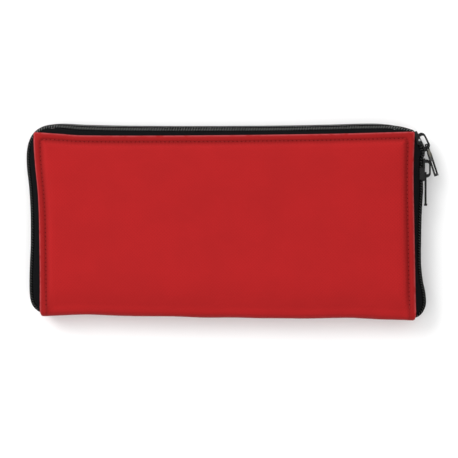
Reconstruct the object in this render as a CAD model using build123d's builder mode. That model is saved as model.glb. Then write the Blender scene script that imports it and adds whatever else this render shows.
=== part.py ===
from build123d import *
from math import cos, radians, sin
import os

# Fire blanket in a soft zip pouch. Millimetres, +X along the pouch, +Y from the bottom fold
# to the top zip, +Z out of the front cloth. Origin: middle of the back cloth's flat outer face.

# Driving sizes of the pouch
pouch_thickness = 26.0
mid_z = pouch_thickness / 2
panel_half_length = 141.0
panel_top = 66.4
panel_bottom = -72.6
panel_corner_radius = 3.0
cloth = 0.8
hem_width = 5.2
hem_thickness = 1.2
crown_height = 4.5
crown_run = 5.0
fold_crown_run = 2.8
fold_bulge = 1.2

# Zip: coil chain with tape, both halves
row_width = 3.75
coil_thickness = 2.8
coil_round = 0.9
row_gap = 0.1
tape_thickness = 0.8
tape_edge_gap = 0.6
chain_flat_half_width = 5.5
gusset_side = 5.2
gusset_top = 5.9
hem_lap = 0.1
seam_allowance = 3.1
chain_end_rise = 3.6
chain_top_radius = 14.0
chain_end_radius = 9.5
chain_end_tail = 2.5
bartack_width = 2.2
bartack_clearance = 0.1
bartack_proud = 0.9

# Sliders
slider_length = 17.0
blade_thickness = 1.3
channel_clearance = 0.2
slot_clearance = 0.25
flange_thickness = 0.85
flange_clearance = 0.25
mouth_flare = 0.05
flange_reach = 1.5
post_length = 3.6
post_setback = 0.3
blade_tail_corner = 2.2
blade_mouth_corner = 2.6
blade_edge = 0.5
post_half_width = 1.5
post_clearance = 0.2
lower_slider_drop = 32.7
upper_slider_drop = 12.2
upper_slider_lead = 2.2
upper_slider_tilt = 26.2

# Crowns and pull tabs
crown_length = 13.7
crown_shift = 1.0
crown_hole_length = 8.4
crown_hole_height = 3.4
crown_arch = 1.3
crown_width = 1.7
crown_corner = 3.4
crown_hole_corner = 1.3
crown_round = 0.4
tab_length = 25.4
tab_bar = 1.0
tab_thickness = 1.2
tab_ring_width = 4.8
tab_ring_side = 0.9
tab_width = 6.2
tab_plate_length = 7.0
tab_border = 1.3
tab_dish = 0.3
tab_edge = 0.3
tab_lip = 2.2
tab_lip_length = 1.6
bar_to_leg = 1.1
ring_clearance = 0.6
lower_tab_lift = 0.72
upper_tab_lift = 2.25
upper_tab_angle = 18.0
upper_tab_twist = 28.0

# Blanket, folded, and its two pull tapes
blanket_side_room = 16.0
blanket_top_room = 5.4
blanket_bottom_room = 8.6
blanket_clearance = 0.4
blanket_edge_radius = 8.5
blanket_corner_radius = 10.0
pull_tape_width = 24.0
pull_tape_thickness = 2.2
pull_tape_length = 50.0
pull_tape_inset = 50.0
pull_tape_clearance = 0.4

# Worked out: pouch
front_face_z = pouch_thickness
hem_z = front_face_z - crown_height
fold_half_height = hem_z - mid_z
middle = Plane.XY.offset(mid_z)

# Worked out: the chain's line round the pouch
chain_side = panel_half_length + gusset_side
chain_top = panel_top + gusset_top
chain_bottom = -panel_bottom - chain_end_rise
gusset_inset = gusset_side + hem_lap

# Worked out: zip section, n outwards from the chain's middle and w towards the front cloth
coil_n = coil_thickness / 2
tape_outer_n = -coil_n
tape_inner_n = tape_outer_n - tape_thickness
tape_slope_shift = tape_thickness / 3
seam_w = hem_z - mid_z

# Worked out: sliders
rail = flange_clearance + flange_thickness
tail_half_width = row_gap / 2 + row_width + rail
mouth_half_width = post_half_width + post_clearance + row_width + rail + mouth_flare
lower_slider_y = chain_top - lower_slider_drop
upper_slider_x = chain_side - upper_slider_lead
upper_slider_y = chain_top - upper_slider_drop
blade_under_n = coil_n + channel_clearance
blade_top_n = blade_under_n + blade_thickness
slot_top_n = tape_outer_n + slot_clearance
lower_blade_top_n = tape_outer_n - tape_thickness - slot_clearance
lower_blade_under_n = lower_blade_top_n - blade_thickness
tilt = radians(upper_slider_tilt)
upper_along = Vector(sin(tilt), -cos(tilt), 0)
upper_out = Vector(cos(tilt), sin(tilt), 0)
lower_centre = Vector(chain_side, lower_slider_y, mid_z)
upper_centre = Vector(upper_slider_x, upper_slider_y, mid_z)
lower_seat = Plane(origin=lower_centre, x_dir=(0, 1, 0), z_dir=(1, 0, 0))
upper_seat = Plane(origin=upper_centre, x_dir=upper_along, z_dir=upper_out)

# Worked out: the chain's middle line, from the lower left end round to the lower right end
mouth_reach = slider_length / 2 + post_clearance
corner_in = upper_centre - upper_along * ((chain_top - upper_slider_y) / cos(tilt))
upper_mouth = upper_centre + upper_along * mouth_reach
lower_mouth = lower_centre + Vector(0, mouth_reach, 0)
end_reach = chain_end_radius + chain_end_tail
left_end = Vector(-chain_side + end_reach, -chain_bottom, mid_z)
left_foot = Vector(-chain_side, -chain_bottom, mid_z)
left_top = Vector(-chain_side, chain_top, mid_z)
right_foot = Vector(chain_side, -chain_bottom, mid_z)
right_end = Vector(chain_side - end_reach, -chain_bottom, mid_z)
junction = 0.5
spread_start = 3.0
turn_radius = (chain_top - upper_slider_y) / (1 - sin(tilt))
open_edge = post_half_width + post_clearance
spread_low = lower_slider_y + spread_start
spread_high = (upper_centre + upper_along * spread_start).Y

# Worked out: pull tabs
ring_hole_length = bar_to_leg - tab_bar / 2 + (crown_length - crown_hole_length) / 2 + ring_clearance
tab_end = tab_length - tab_bar / 2
tape_top_y = panel_top - hem_width - crown_run - cloth - pull_tape_clearance


def edge_outline(inset_sides, inset_top, inset_bottom, corner):
    """Rectangle of the panel, drawn in by the given amounts, with rounded top corners."""
    low = panel_bottom + inset_bottom
    high = panel_top - inset_top
    with Locations((0, (low + high) / 2)):
        outline = Rectangle(2 * (panel_half_length - inset_sides), high - low)
    fillet(outline.vertices().group_by(Axis.Y)[-1], radius=corner)


# Front cloth: a hem round three sides and a crowned middle, open towards the blanket
with BuildPart() as front_panel:
    with BuildSketch(Plane.XY.offset(hem_z)):
        edge_outline(0, 0, 0, panel_corner_radius)
    extrude(amount=hem_thickness)
    with BuildSketch(Plane.XY.offset(hem_z)):
        edge_outline(hem_width, hem_width, 0, panel_corner_radius)
    with BuildSketch(Plane.XY.offset(front_face_z)):
        edge_outline(hem_width + crown_run, hem_width + crown_run, fold_crown_run, panel_corner_radius)
    loft(ruled=True)
    with BuildSketch(Plane.XY.offset(hem_z)):
        edge_outline(hem_width + cloth, hem_width + cloth, cloth, panel_corner_radius)
    with BuildSketch(Plane.XY.offset(front_face_z - cloth)):
        run = crown_run + cloth
        edge_outline(hem_width + run, hem_width + run, fold_crown_run + cloth, panel_corner_radius)
    loft(ruled=True, mode=Mode.SUBTRACT)
front_panel.part.label = "front_panel"

# Back cloth: the same piece, turned over on the chain's plane
with BuildPart() as back_panel:
    mirror(front_panel.part, about=middle)
back_panel.part.label = "back_panel"

# Bottom fold: the cloth that runs from the back round to the front
with BuildPart() as bottom_fold:
    with BuildSketch(Plane.YZ.offset(-panel_half_length + hem_width)):
        with BuildLine():
            outer = ThreePointArc(
                (panel_bottom, mid_z - fold_half_height),
                (panel_bottom - fold_bulge, mid_z),
                (panel_bottom, mid_z + fold_half_height),
            )
            inner = ThreePointArc(
                (panel_bottom + cloth, mid_z - fold_half_height),
                (panel_bottom - fold_bulge + cloth, mid_z),
                (panel_bottom + cloth, mid_z + fold_half_height),
            )
            Line(outer @ 0, inner @ 0)
            Line(outer @ 1, inner @ 1)
        make_face()
    extrude(amount=2 * (panel_half_length - hem_width))
bottom_fold.part.label = "bottom_fold"


def section_plane(path_line):
    """Plane across the chain at the start of a path: x outwards, y towards the front cloth."""
    along = (path_line % 0).normalized()
    return Plane(origin=path_line @ 0, x_dir=along.cross(Vector(0, 0, 1)) * -1, z_dir=along)


def slider_room(seat):
    """The room that a slider's blades take, with a little clearance beside the tape."""
    with BuildPart() as room:
        with BuildSketch(seat.offset(slot_top_n + slot_clearance / 2)):
            Rectangle(slider_length, 2 * mouth_half_width)
        extrude(amount=blade_top_n)
        with BuildSketch(seat.offset(lower_blade_top_n + slot_clearance / 2)):
            Rectangle(slider_length, 2 * mouth_half_width)
        extrude(amount=-2 * blade_thickness)
    return room.part


slider_rooms = [slider_room(lower_seat), slider_room(upper_seat)]


def coil_section(start_w):
    """Section of one coil row, in the sketch in work, starting start_w from the middle."""
    with Locations((0, start_w + row_width / 2)):
        RectangleRounded(coil_thickness, row_width, coil_round)


# Front tape: flat beside the coil, then sloping in to a seam under the hem
with BuildPart() as front_tape:
    with BuildLine() as tape_line:
        FilletPolyline(
            left_end, left_foot, left_top, corner_in, upper_mouth, lower_mouth, right_foot, right_end,
            radius=[chain_end_radius, chain_top_radius, 0, 0, 0, chain_end_radius],
        )
    with BuildSketch(section_plane(tape_line.line)):
        with BuildLine():
            Polyline(
                (tape_outer_n, tape_edge_gap / 2),
                (tape_outer_n, chain_flat_half_width),
                (-gusset_inset, seam_w),
                (-gusset_inset - seam_allowance, seam_w),
                (-gusset_inset - seam_allowance, seam_w - tape_thickness),
                (-gusset_inset - tape_slope_shift, seam_w - tape_thickness),
                (tape_inner_n, chain_flat_half_width - tape_slope_shift),
                (tape_inner_n, tape_edge_gap / 2),
                close=True,
            )
        make_face()
    sweep(path=tape_line.line, transition=Transition.RIGHT)
    add(slider_rooms, mode=Mode.SUBTRACT)
    with BuildSketch(middle):
        with Locations((chain_side, (spread_low + spread_high) / 2)):
            Rectangle(2 * mouth_half_width, spread_high - spread_low)
    extrude(amount=open_edge, both=True, mode=Mode.SUBTRACT)
front_tape.part.label = "front_zipper_tape"

with BuildPart() as back_tape:
    mirror(front_tape.part, about=middle)
back_tape.part.label = "back_zipper_tape"

# Front coil: one row of the chain, closed up to each slider and standing open between the two
with BuildPart() as front_coil:
    with BuildLine() as long_run:
        FilletPolyline(
            left_end, left_foot, left_top, corner_in, upper_centre + upper_along * junction,
            radius=[chain_end_radius, chain_top_radius, 0],
        )
    with BuildSketch(section_plane(long_run.line)):
        coil_section(row_gap / 2)
    sweep(path=long_run.line, transition=Transition.RIGHT)
    with BuildLine() as short_run:
        FilletPolyline(
            lower_centre + Vector(0, junction, 0), right_foot, right_end, radius=[chain_end_radius]
        )
    with BuildSketch(section_plane(short_run.line)):
        coil_section(row_gap / 2)
    sweep(path=short_run.line, transition=Transition.RIGHT)
    with BuildLine() as open_run:
        Polyline(
            upper_centre + upper_along * spread_start, upper_mouth, lower_mouth,
            lower_centre + Vector(0, spread_start, 0),
        )
    with BuildSketch(section_plane(open_run.line)):
        coil_section(open_edge)
    sweep(path=open_run.line, transition=Transition.RIGHT)
front_coil.part.label = "front_coil"

with BuildPart() as back_coil:
    mirror(front_coil.part, about=middle)
back_coil.part.label = "back_coil"

# Bartacks: thread sewn over the chain at both its ends, which stops the sliders
with BuildPart() as left_bartack:
    with BuildSketch(section_plane(tape_line.line)):
        top_n = coil_n + bartack_clearance + bartack_proud
        side_w = row_gap / 2 + row_width + bartack_clearance
        with Locations(((top_n + tape_outer_n) / 2, 0)):
            Rectangle(top_n - tape_outer_n, 2 * (side_w + bartack_proud))
        with Locations(((top_n - bartack_proud + tape_outer_n) / 2, 0)):
            Rectangle(top_n - bartack_proud - tape_outer_n, 2 * side_w, mode=Mode.SUBTRACT)
    extrude(amount=bartack_width)
left_bartack.part.label = "left_bartack"

with BuildPart() as right_bartack:
    mirror(left_bartack.part, about=Plane.YZ)
right_bartack.part.label = "right_bartack"


def blade_outline():
    """Outline of a slider's blade: parallel from the tail, then wider towards the mouth."""
    tail = tail_half_width
    mouth = mouth_half_width
    half = slider_length / 2
    points = [(-half, -tail), (0, -tail), (half, -mouth), (half, mouth), (0, tail), (-half, tail)]
    return Polygon(*points, align=None)


def slider_body(seat, name):
    """Two blades joined by the post at the mouth, with flanges that hold the chain together."""
    out = Axis(seat.origin, seat.z_dir)
    half = slider_length / 2
    with BuildPart() as body:
        for under in (blade_under_n, lower_blade_under_n):
            with BuildSketch(seat.offset(under)):
                outline = blade_outline()
                fillet(outline.vertices().sort_by(Axis.X)[:2], radius=blade_tail_corner)
                fillet(outline.vertices().sort_by(Axis.X)[-2:], radius=blade_mouth_corner)
            extrude(amount=blade_thickness)
        fillet(body.faces().sort_by(out)[-1].edges(), radius=blade_edge)
        fillet(body.faces().sort_by(out)[0].edges(), radius=blade_edge)
        with BuildSketch(seat.offset(slot_top_n)):
            outline = blade_outline()
            fillet(outline.vertices().sort_by(Axis.X)[:2], radius=blade_tail_corner)
            Polygon(
                (-slider_length, -tail_half_width + flange_thickness),
                (0, -tail_half_width + flange_thickness),
                (half, -mouth_half_width + flange_thickness),
                (slider_length, -mouth_half_width),
                (slider_length, mouth_half_width),
                (half, mouth_half_width - flange_thickness),
                (0, tail_half_width - flange_thickness),
                (-slider_length, tail_half_width - flange_thickness),
                align=None, mode=Mode.SUBTRACT,
            )
            with Locations((flange_reach + half, 0)):
                Rectangle(slider_length, 2 * mouth_half_width + 1, mode=Mode.SUBTRACT)
        extrude(amount=blade_under_n - slot_top_n)
        with BuildSketch(seat.offset(lower_blade_top_n)):
            with Locations((half - post_setback - post_length / 2, 0)):
                RectangleRounded(post_length, 2 * post_half_width, post_half_width - 0.1)
        extrude(amount=blade_under_n - lower_blade_top_n)
    body.part.label = name
    return body.part


def slider_crown(seat, name):
    """Arch on the slider's outer blade that the pull tab hangs from."""
    side_plane = Plane(origin=seat.origin, x_dir=seat.x_dir, z_dir=seat.y_dir * -1)
    with BuildPart() as crown:
        with BuildSketch(side_plane):
            height = crown_hole_height + crown_arch
            with Locations((crown_shift, blade_top_n + height / 2)):
                arch = Rectangle(crown_length, height)
            fillet(arch.vertices().group_by(Axis.Y)[-1], radius=crown_corner)
            with Locations((crown_shift, blade_top_n + crown_hole_height / 2)):
                Rectangle(crown_hole_length, crown_hole_height, mode=Mode.SUBTRACT)
            fillet(eye_corners(), radius=crown_hole_corner)
        extrude(amount=crown_width / 2, both=True)
        sides = crown.faces().filter_by(Axis(seat.origin, seat.y_dir))
        rims = sides.edges().filter_by(lambda edge: rises(edge, seat))
        fillet(rims, radius=crown_round)
    crown.part.label = name
    return crown.part


def eye_corners():
    """The two upper corners of the crown's eye, in the sketch in work."""
    corners = BuildSketch._get_context(None).vertices()
    level = blade_top_n + crown_hole_height
    reach = crown_hole_length / 2 + 0.01
    level_corners = corners.filter_by(lambda corner: abs(corner.Y - level) < 0.01)
    return level_corners.filter_by(lambda corner: abs(corner.X - crown_shift) < reach)


def rises(edge, seat):
    """True for a rim edge that isn't the foot of the crown."""
    height = (edge @ 0.5 - seat.origin).dot(seat.z_dir)
    return height > blade_top_n + 0.01


def pull_tab(bar_seat, name):
    """Tab: a ring at the bar, a dished plate and a long slot, along the seat's x axis."""
    ring_end = tab_bar / 2 + ring_hole_length
    slot_start = ring_end + tab_border + tab_plate_length
    slot_end = tab_end - tab_border
    slot_width = tab_width - 2 * tab_border
    wide_start = ring_end + tab_border
    with BuildPart() as tab:
        with BuildSketch(bar_seat):
            outline = Polygon(
                (-tab_bar / 2, -tab_ring_width / 2), (wide_start, -tab_ring_width / 2),
                (wide_start + tab_border, -tab_width / 2), (tab_end, -tab_width / 2),
                (tab_end, tab_width / 2), (wide_start + tab_border, tab_width / 2),
                (wide_start, tab_ring_width / 2), (-tab_bar / 2, tab_ring_width / 2),
                align=None,
            )
            fillet(outline.vertices().sort_by(Axis.X)[:2], radius=tab_bar)
            fillet(outline.vertices().sort_by(Axis.X)[-2:], radius=tab_width / 2 - 0.1)
            with Locations(((tab_bar / 2 + ring_end) / 2, 0)):
                ring_width = tab_ring_width - 2 * tab_ring_side
                RectangleRounded(ring_hole_length, ring_width, tab_bar / 2, mode=Mode.SUBTRACT)
            with Locations(((slot_start + slot_end) / 2, 0)):
                RectangleRounded(slot_end - slot_start, slot_width, slot_width / 2 - 0.05, mode=Mode.SUBTRACT)
        extrude(amount=tab_thickness / 2, both=True)
        fillet(tab.faces().filter_by(Axis(bar_seat.origin, bar_seat.z_dir)).edges(), radius=tab_edge)
        for side in (1, -1):
            with BuildSketch(bar_seat.offset(side * (tab_thickness / 2))):
                with Locations(((wide_start + slot_start) / 2 + tab_bar / 2, 0)):
                    RectangleRounded(tab_plate_length - 2 * tab_bar, slot_width, tab_bar)
            extrude(amount=-side * tab_dish, mode=Mode.SUBTRACT)
        with BuildSketch(bar_seat):
            with Locations((tab_end - tab_lip_length / 2, 0)):
                RectangleRounded(tab_lip_length, tab_width / 2, tab_lip_length / 2 - 0.05)
        extrude(amount=tab_lip / 2, both=True)
    tab.part.label = name
    return tab.part


bar_offset = crown_hole_length / 2 - bar_to_leg
lower_bar = lower_centre + lower_seat.x_dir * (crown_shift - bar_offset)
lower_bar += lower_seat.z_dir * (blade_top_n + lower_tab_lift)
upper_bar = upper_centre + upper_seat.x_dir * (crown_shift + bar_offset)
upper_bar += upper_seat.z_dir * (blade_top_n + upper_tab_lift)
swing = radians(upper_tab_angle)
lower_bar_seat = Plane(origin=lower_bar, x_dir=(0, -1, 0), z_dir=(1, 0, 0))
twist = radians(upper_tab_twist)
tab_down = Vector(sin(swing), -cos(swing), 0)
tab_face = Vector(cos(twist) * cos(swing), cos(twist) * sin(swing), sin(twist))
upper_bar_seat = Plane(origin=upper_bar, x_dir=tab_down, z_dir=tab_face)

sliders = [
    slider_body(lower_seat, "lower_slider_body"),
    slider_crown(lower_seat, "lower_slider_crown"),
    pull_tab(lower_bar_seat, "lower_pull_tab"),
    slider_body(upper_seat, "upper_slider_body"),
    slider_crown(upper_seat, "upper_slider_crown"),
    pull_tab(upper_bar_seat, "upper_pull_tab"),
]

# Fire blanket: glass cloth folded into a pack with round folds
blanket_length = 2 * (panel_half_length - blanket_side_room)
blanket_width = panel_top - blanket_top_room - panel_bottom - blanket_bottom_room
blanket_middle = panel_bottom + blanket_bottom_room + blanket_width / 2
blanket_floor = cloth + blanket_clearance
blanket_top = front_face_z - cloth - pull_tape_clearance - pull_tape_thickness
pull_tape_place = blanket_length / 2 - pull_tape_inset
with BuildPart() as fire_blanket:
    with BuildSketch(Plane.XY.offset(blanket_floor)):
        with Locations((0, blanket_middle)):
            RectangleRounded(blanket_length, blanket_width, blanket_corner_radius)
    extrude(amount=blanket_top - blanket_floor)
    fillet(fire_blanket.faces().sort_by(Axis.Z)[-1].edges(), radius=blanket_edge_radius)
    fillet(fire_blanket.faces().sort_by(Axis.Z)[0].edges(), radius=blanket_edge_radius)
fire_blanket.part.label = "fire_blanket"

# Pull tapes: webbing loops lying on the pack
tapes = []
for name, place in (("left_pull_tape", -pull_tape_place), ("right_pull_tape", pull_tape_place)):
    with BuildPart() as pull_tape:
        with BuildSketch(Plane.XY.offset(blanket_top)):
            with Locations((place, tape_top_y - pull_tape_length / 2)):
                RectangleRounded(pull_tape_width, pull_tape_length, pull_tape_thickness / 2)
        extrude(amount=pull_tape_thickness)
    pull_tape.part.label = name
    tapes.append(pull_tape.part)

pieces = [
    front_panel.part, back_panel.part, bottom_fold.part, front_tape.part, back_tape.part,
    front_coil.part, back_coil.part, left_bartack.part, right_bartack.part, fire_blanket.part,
    *tapes, *sliders,
]
os.makedirs("parts", exist_ok=True)
for piece in pieces:
    export_step(piece, f"parts/{piece.label}.step")

print("cover hinge y z", panel_bottom, mid_z)
print("lower bar", lower_bar, "upper bar", upper_bar)
print("upper slider turn centre", upper_centre - upper_out * turn_radius)
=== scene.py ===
"""Looks of a fire blanket in a soft zip pouch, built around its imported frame."""

import math

import bmesh
import bpy
from mathutils import Matrix, Vector, noise


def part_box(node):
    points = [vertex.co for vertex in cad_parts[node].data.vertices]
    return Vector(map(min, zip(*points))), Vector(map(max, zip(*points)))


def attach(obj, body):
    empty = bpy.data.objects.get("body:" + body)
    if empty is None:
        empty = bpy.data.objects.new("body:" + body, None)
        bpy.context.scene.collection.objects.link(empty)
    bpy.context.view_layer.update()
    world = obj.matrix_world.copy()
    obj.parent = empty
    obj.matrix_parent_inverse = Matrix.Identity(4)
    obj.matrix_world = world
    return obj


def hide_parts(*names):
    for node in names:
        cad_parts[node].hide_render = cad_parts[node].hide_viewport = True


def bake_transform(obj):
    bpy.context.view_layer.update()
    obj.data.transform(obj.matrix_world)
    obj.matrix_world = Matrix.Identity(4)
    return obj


bl_info = {
    "name": "Fire Blanket Pouch",
    "version": (1, 0, 0),
    "blender": (4, 5, 0),
    "location": "View3D > Sidebar > Fire Blanket",
    "description": "Builds the cloth, zip, folded blanket and finishes of a fire blanket in a pouch",
    "category": "Add Mesh",
}

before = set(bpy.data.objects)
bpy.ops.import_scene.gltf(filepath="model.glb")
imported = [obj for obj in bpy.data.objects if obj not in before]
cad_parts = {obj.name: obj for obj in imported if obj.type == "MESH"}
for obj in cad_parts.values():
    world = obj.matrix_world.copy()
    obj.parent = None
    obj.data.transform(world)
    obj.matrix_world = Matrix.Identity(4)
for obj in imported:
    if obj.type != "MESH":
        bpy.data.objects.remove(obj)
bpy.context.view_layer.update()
MM = 0.001

front_low, front_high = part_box("front_panel")
back_low, back_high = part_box("back_panel")
UP = Vector((0, 0, 1))
FRONT_HEM_Z = front_low.z
BACK_HEM_Z = back_high.z
MIDDLE_Z = (front_high.z + back_low.z) / 2
PANEL_LEFT = front_low.x
PANEL_RIGHT = front_high.x
PANEL_TOP = front_high.y
FOLD_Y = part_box("bottom_fold")[0].y


# ---- sizes and colours


def length(name, words, value):
    """A length property, in metres."""
    return bpy.props.FloatProperty(name=name, description=words, default=value, min=0, unit="LENGTH")


class PouchSizes(bpy.types.PropertyGroup):
    """Sizes that a maker of the pouch would change."""

    cloth: length("Cloth", "Thickness of the red cloth", 0.8 * MM)
    tape: length("Tape", "Thickness of the zip tape", 0.7 * MM)
    stitch_pitch: length("Stitch pitch", "Eight stitches to the inch", 3.175 * MM)
    stitch_inset: length("Stitch inset", "Topstitch line from the hem's edge", 4.7 * MM)
    thread: length("Thread", "Radius of the topstitch thread", 0.24 * MM)
    tooth_pitch: length("Tooth pitch", "Pitch of the coil's teeth", 1.95 * MM)
    blanket_side: length("Blanket side", "Side of the blanket before it is folded", 1.0)
    top_lean: bpy.props.FloatProperty(
        name="Top lean", description="How far the top zip leans forward", default=math.radians(15),
        subtype="ANGLE",
    )


def colour(name, words, value):
    """A linear RGB colour property."""
    return bpy.props.FloatVectorProperty(
        name=name, description=words, default=value, size=3, subtype="COLOR", min=0, max=1
    )


class PouchColours(bpy.types.PropertyGroup):
    """Colours of the pouch's finishes."""

    red: colour("Red cloth", "Woven polyester of the pouch", (0.392, 0.0103, 0.0113))
    black_tape: colour("Zip tape", "Woven tape of the zip", (0.0045, 0.0046, 0.0052))
    coil: colour("Coil", "Nylon coil of the zip", (0.003, 0.003, 0.003))
    enamel: colour("Enamel", "Black enamel of sliders and tabs", (0.003, 0.003, 0.003))
    glass: colour("Glass cloth", "Woven glass fibre of the blanket", (0.66, 0.64, 0.58))
    webbing: colour("Webbing", "Pull tapes on the blanket", (0.014, 0.014, 0.015))


def sizes():
    return bpy.context.scene.pouch_sizes


def colours():
    return bpy.context.scene.pouch_colours


# ---- curves and outlines


def smooth(points, value):
    """Height at value of a smooth curve through points, each (value, height)."""
    if value <= points[0][0]:
        return points[0][1]
    if value >= points[-1][0]:
        return points[-1][1]
    right = next(i for i, (place, _) in enumerate(points) if place > value)
    a, b = points[right - 1], points[right]
    before = points[right - 2] if right > 1 else a
    after = points[right + 1] if right + 1 < len(points) else b
    span = b[0] - a[0]
    start = (b[1] - before[1]) / (b[0] - before[0]) * span
    end = (after[1] - a[1]) / (after[0] - a[0]) * span
    t = (value - a[0]) / span
    return (
        a[1] * (2 * t**3 - 3 * t**2 + 1) + start * (t**3 - 2 * t**2 + t)
        + b[1] * (3 * t**2 - 2 * t**3) + end * (t**3 - t**2)
    )


# Edge of the red cloth, in mm: (place along the edge, how far it bows out of a plain rectangle)
LEFT_EDGE = [(-73, -1.1), (-40, -1.0), (0, -0.4), (20, 0.5), (40, 2.4), (55, 3.4), (68, 3.6)]
RIGHT_EDGE = [(-73, 1.1), (-50, 0.6), (0, -0.3), (35, -0.8), (60, -0.1), (68, 0.2)]
TOP_EDGE = [
    (-144, 1.3), (-125, 0.0), (-110, -1.1), (-50, -1.3), (0, -1.0), (50, -0.4), (90, 0.3), (141, 1.7),
]
BOTTOM_EDGE = [
    (-141, -3.4), (-110, -4.2), (-60, -3.2), (0, -2.2), (60, -1.4), (95, -2.0), (120, -0.7), (141, 0.2),
]
CORNER = 1.5 * MM
FOLD_CORNER = 2.4 * MM


def left_x(y):
    return PANEL_LEFT - smooth(LEFT_EDGE, y / MM) * MM


def right_x(y):
    return PANEL_RIGHT + smooth(RIGHT_EDGE, y / MM) * MM


def top_y(x):
    return PANEL_TOP + smooth(TOP_EDGE, x / MM) * MM


def bottom_y(x):
    """Lowest line of the fold, rounded up at both its ends."""
    side = min(x - left_x(FOLD_Y), right_x(FOLD_Y) - x, FOLD_CORNER)
    rounding = FOLD_CORNER - math.sqrt(max(FOLD_CORNER**2 - (FOLD_CORNER - side) ** 2, 0))
    return FOLD_Y - smooth(BOTTOM_EDGE, x / MM) * MM + rounding


# Height of the red cloth over its hem's underside, against the distance in from the edge, in mm
RISE = [
    (0, 0.2), (0.4, 0.85), (1.1, 1.25), (2.8, 1.35), (4.0, 1.0), (4.8, 0.45), (5.5, 0.95),
    (7.0, 2.6), (8.6, 3.6), (10.8, 4.1), (14, 4.35), (24, 4.55), (60, 4.75),
]

# How much painted shade darkens the hem, and the pressed stitch line most of all
HEM_SHADE = [(0, 0.7), (0.7, 1.0), (3.6, 1.0), (4.8, 1.7), (5.9, 1.0), (8.2, 0.15), (11, 0)]
# The same painted shade along the bottom fold, where the cloth turns down away from the light, against the
# distance up from it
FOLD_SHADE = [(0, 1.4), (0.8, 1.0), (1.6, 0.6), (3.5, 0.35), (6, 0)]

# Share of painted highlight, in the paler red below, at the turned edge of the hem where light catches it,
# against the distance in from it
RIM_HIGHLIGHT = [(0, 0.55), (0.7, 0.28), (1.4, 0)]
HIGHLIGHT_RED = (0.50, 0.09, 0.10)

# The groove of the topstitching turns its corners on this radius
GROOVE_CORNER = 8.0 * MM

# The cloth slopes down to the bottom fold: its drop, in mm, against the distance up from the fold
FOLD_DROP = [(0, 4.9), (3, 4.3), (7, 3.0), (12, 1.6), (18, 0.6), (26, 0)]
FOLD_DEPTH = 4.5 * MM
FOLD_ROUND = 0.78

# The back cloth rises to its flat middle sooner, and slopes less to the fold
BACK_RISE = 4.4
BACK_DROP = 0.6
BACK_FLOOR = 0.02 * MM

# Fine puckers near the stitches, and wide waves over the middle of the cloth
PUCKER_REACH = 3.5 * MM
PUCKER_LENGTH = 5.5 * MM
PUCKER_DEPTH = 0.16 * MM
WAVE_LENGTH = 48 * MM
WAVE_DEPTH = 0.30 * MM
WAVE_STRETCH = 1.6
WAVE_EDGE = 14 * MM


def edge_distance(x, y):
    """Distance in from the nearest of the three hemmed edges, rounded at the corners."""
    side = min(x - left_x(y), right_x(y) - x)
    down = top_y(x) - y
    reach = GROOVE_CORNER
    if side < reach and down < reach:
        return reach - math.hypot(reach - side, reach - down)
    return min(side, down)


def pucker(x, y, edge):
    """Height of the puckers, strongest at the stitch line, and of the wide waves inside it."""
    near = math.exp(-(((edge - sizes().stitch_inset) / PUCKER_REACH) ** 2))
    ripple = noise.noise(Vector((x, y, 0)) / PUCKER_LENGTH) * PUCKER_DEPTH * near
    wide = noise.noise(Vector((x, y * WAVE_STRETCH, 0.02)) / WAVE_LENGTH) * WAVE_DEPTH
    return ripple + wide * min(1, edge / WAVE_EDGE)


def fold_drop(x, y):
    """How far the cloth has sloped down towards the bottom fold."""
    over_fold = (y - bottom_y(x)) / MM - FOLD_DEPTH / MM
    return smooth(FOLD_DROP, max(over_fold, 0)) * MM


def front_height(x, y):
    """Height of the front cloth's outer face."""
    edge = max(edge_distance(x, y), 0)
    rise = smooth(RISE, edge / MM) * MM
    flat_share = min(1, rise / (4 * MM))
    return FRONT_HEM_Z + rise - fold_drop(x, y) * flat_share + pucker(x, y, edge)


def back_height(x, y):
    """Height of the back cloth's outer face, which lies flat in its middle."""
    edge = max(edge_distance(x, y), 0)
    rise = smooth(RISE, edge / MM) / BACK_RISE
    drop = fold_drop(x, y) * BACK_DROP
    return max(BACK_HEM_Z * (1 - rise) + drop * min(1, rise), BACK_FLOOR)


def even_places(start, length, count):
    """Places in count even steps from start over a length."""
    return [start + length * i / count for i in range(count + 1)]


def catmull(points, steps):
    """Points of a smooth line through the given ones, with steps between each pair."""
    ends = [points[0] * 2 - points[1]] + points + [points[-1] * 2 - points[-2]]
    line = []
    for p0, p1, p2, p3 in zip(ends, ends[1:], ends[2:], ends[3:]):
        for i in range(steps):
            t = i / steps
            line.append(
                0.5 * (2 * p1 + (p2 - p0) * t + (2 * p0 - 5 * p1 + 4 * p2 - p3) * t * t
                       + (3 * p1 - p0 - 3 * p2 + p3) * t**3)
            )
    return line + [points[-1]]


def even(line, pitch):
    """The line's points spaced evenly, about pitch apart."""
    lengths = [0]
    for a, b in zip(line, line[1:]):
        lengths.append(lengths[-1] + (b - a).length)
    count = max(2, round(lengths[-1] / pitch))
    spaced = []
    at = 0
    for i in range(count + 1):
        want = lengths[-1] * i / count
        while at < len(line) - 2 and lengths[at + 1] < want:
            at += 1
        part = (want - lengths[at]) / max(lengths[at + 1] - lengths[at], 1e-12)
        spaced.append(line[at].lerp(line[at + 1], min(max(part, 0), 1)))
    return spaced


# ---- the chain's route


class Slider:
    """Where a slider stands: its middle, the way to its mouth and the way out of the chain."""

    def __init__(self, middle, along):
        self.middle = Vector(middle)
        self.along = Vector(along).normalized()
        self.out = Vector((-self.along.y, self.along.x, 0))
        if self.out.x < 0:
            self.out = -self.out

    def at(self, u, n=0.0):
        """Point u mm along the slider from its middle and n mm out of the chain."""
        return self.middle + self.along * u * MM + self.out * n * MM


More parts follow.
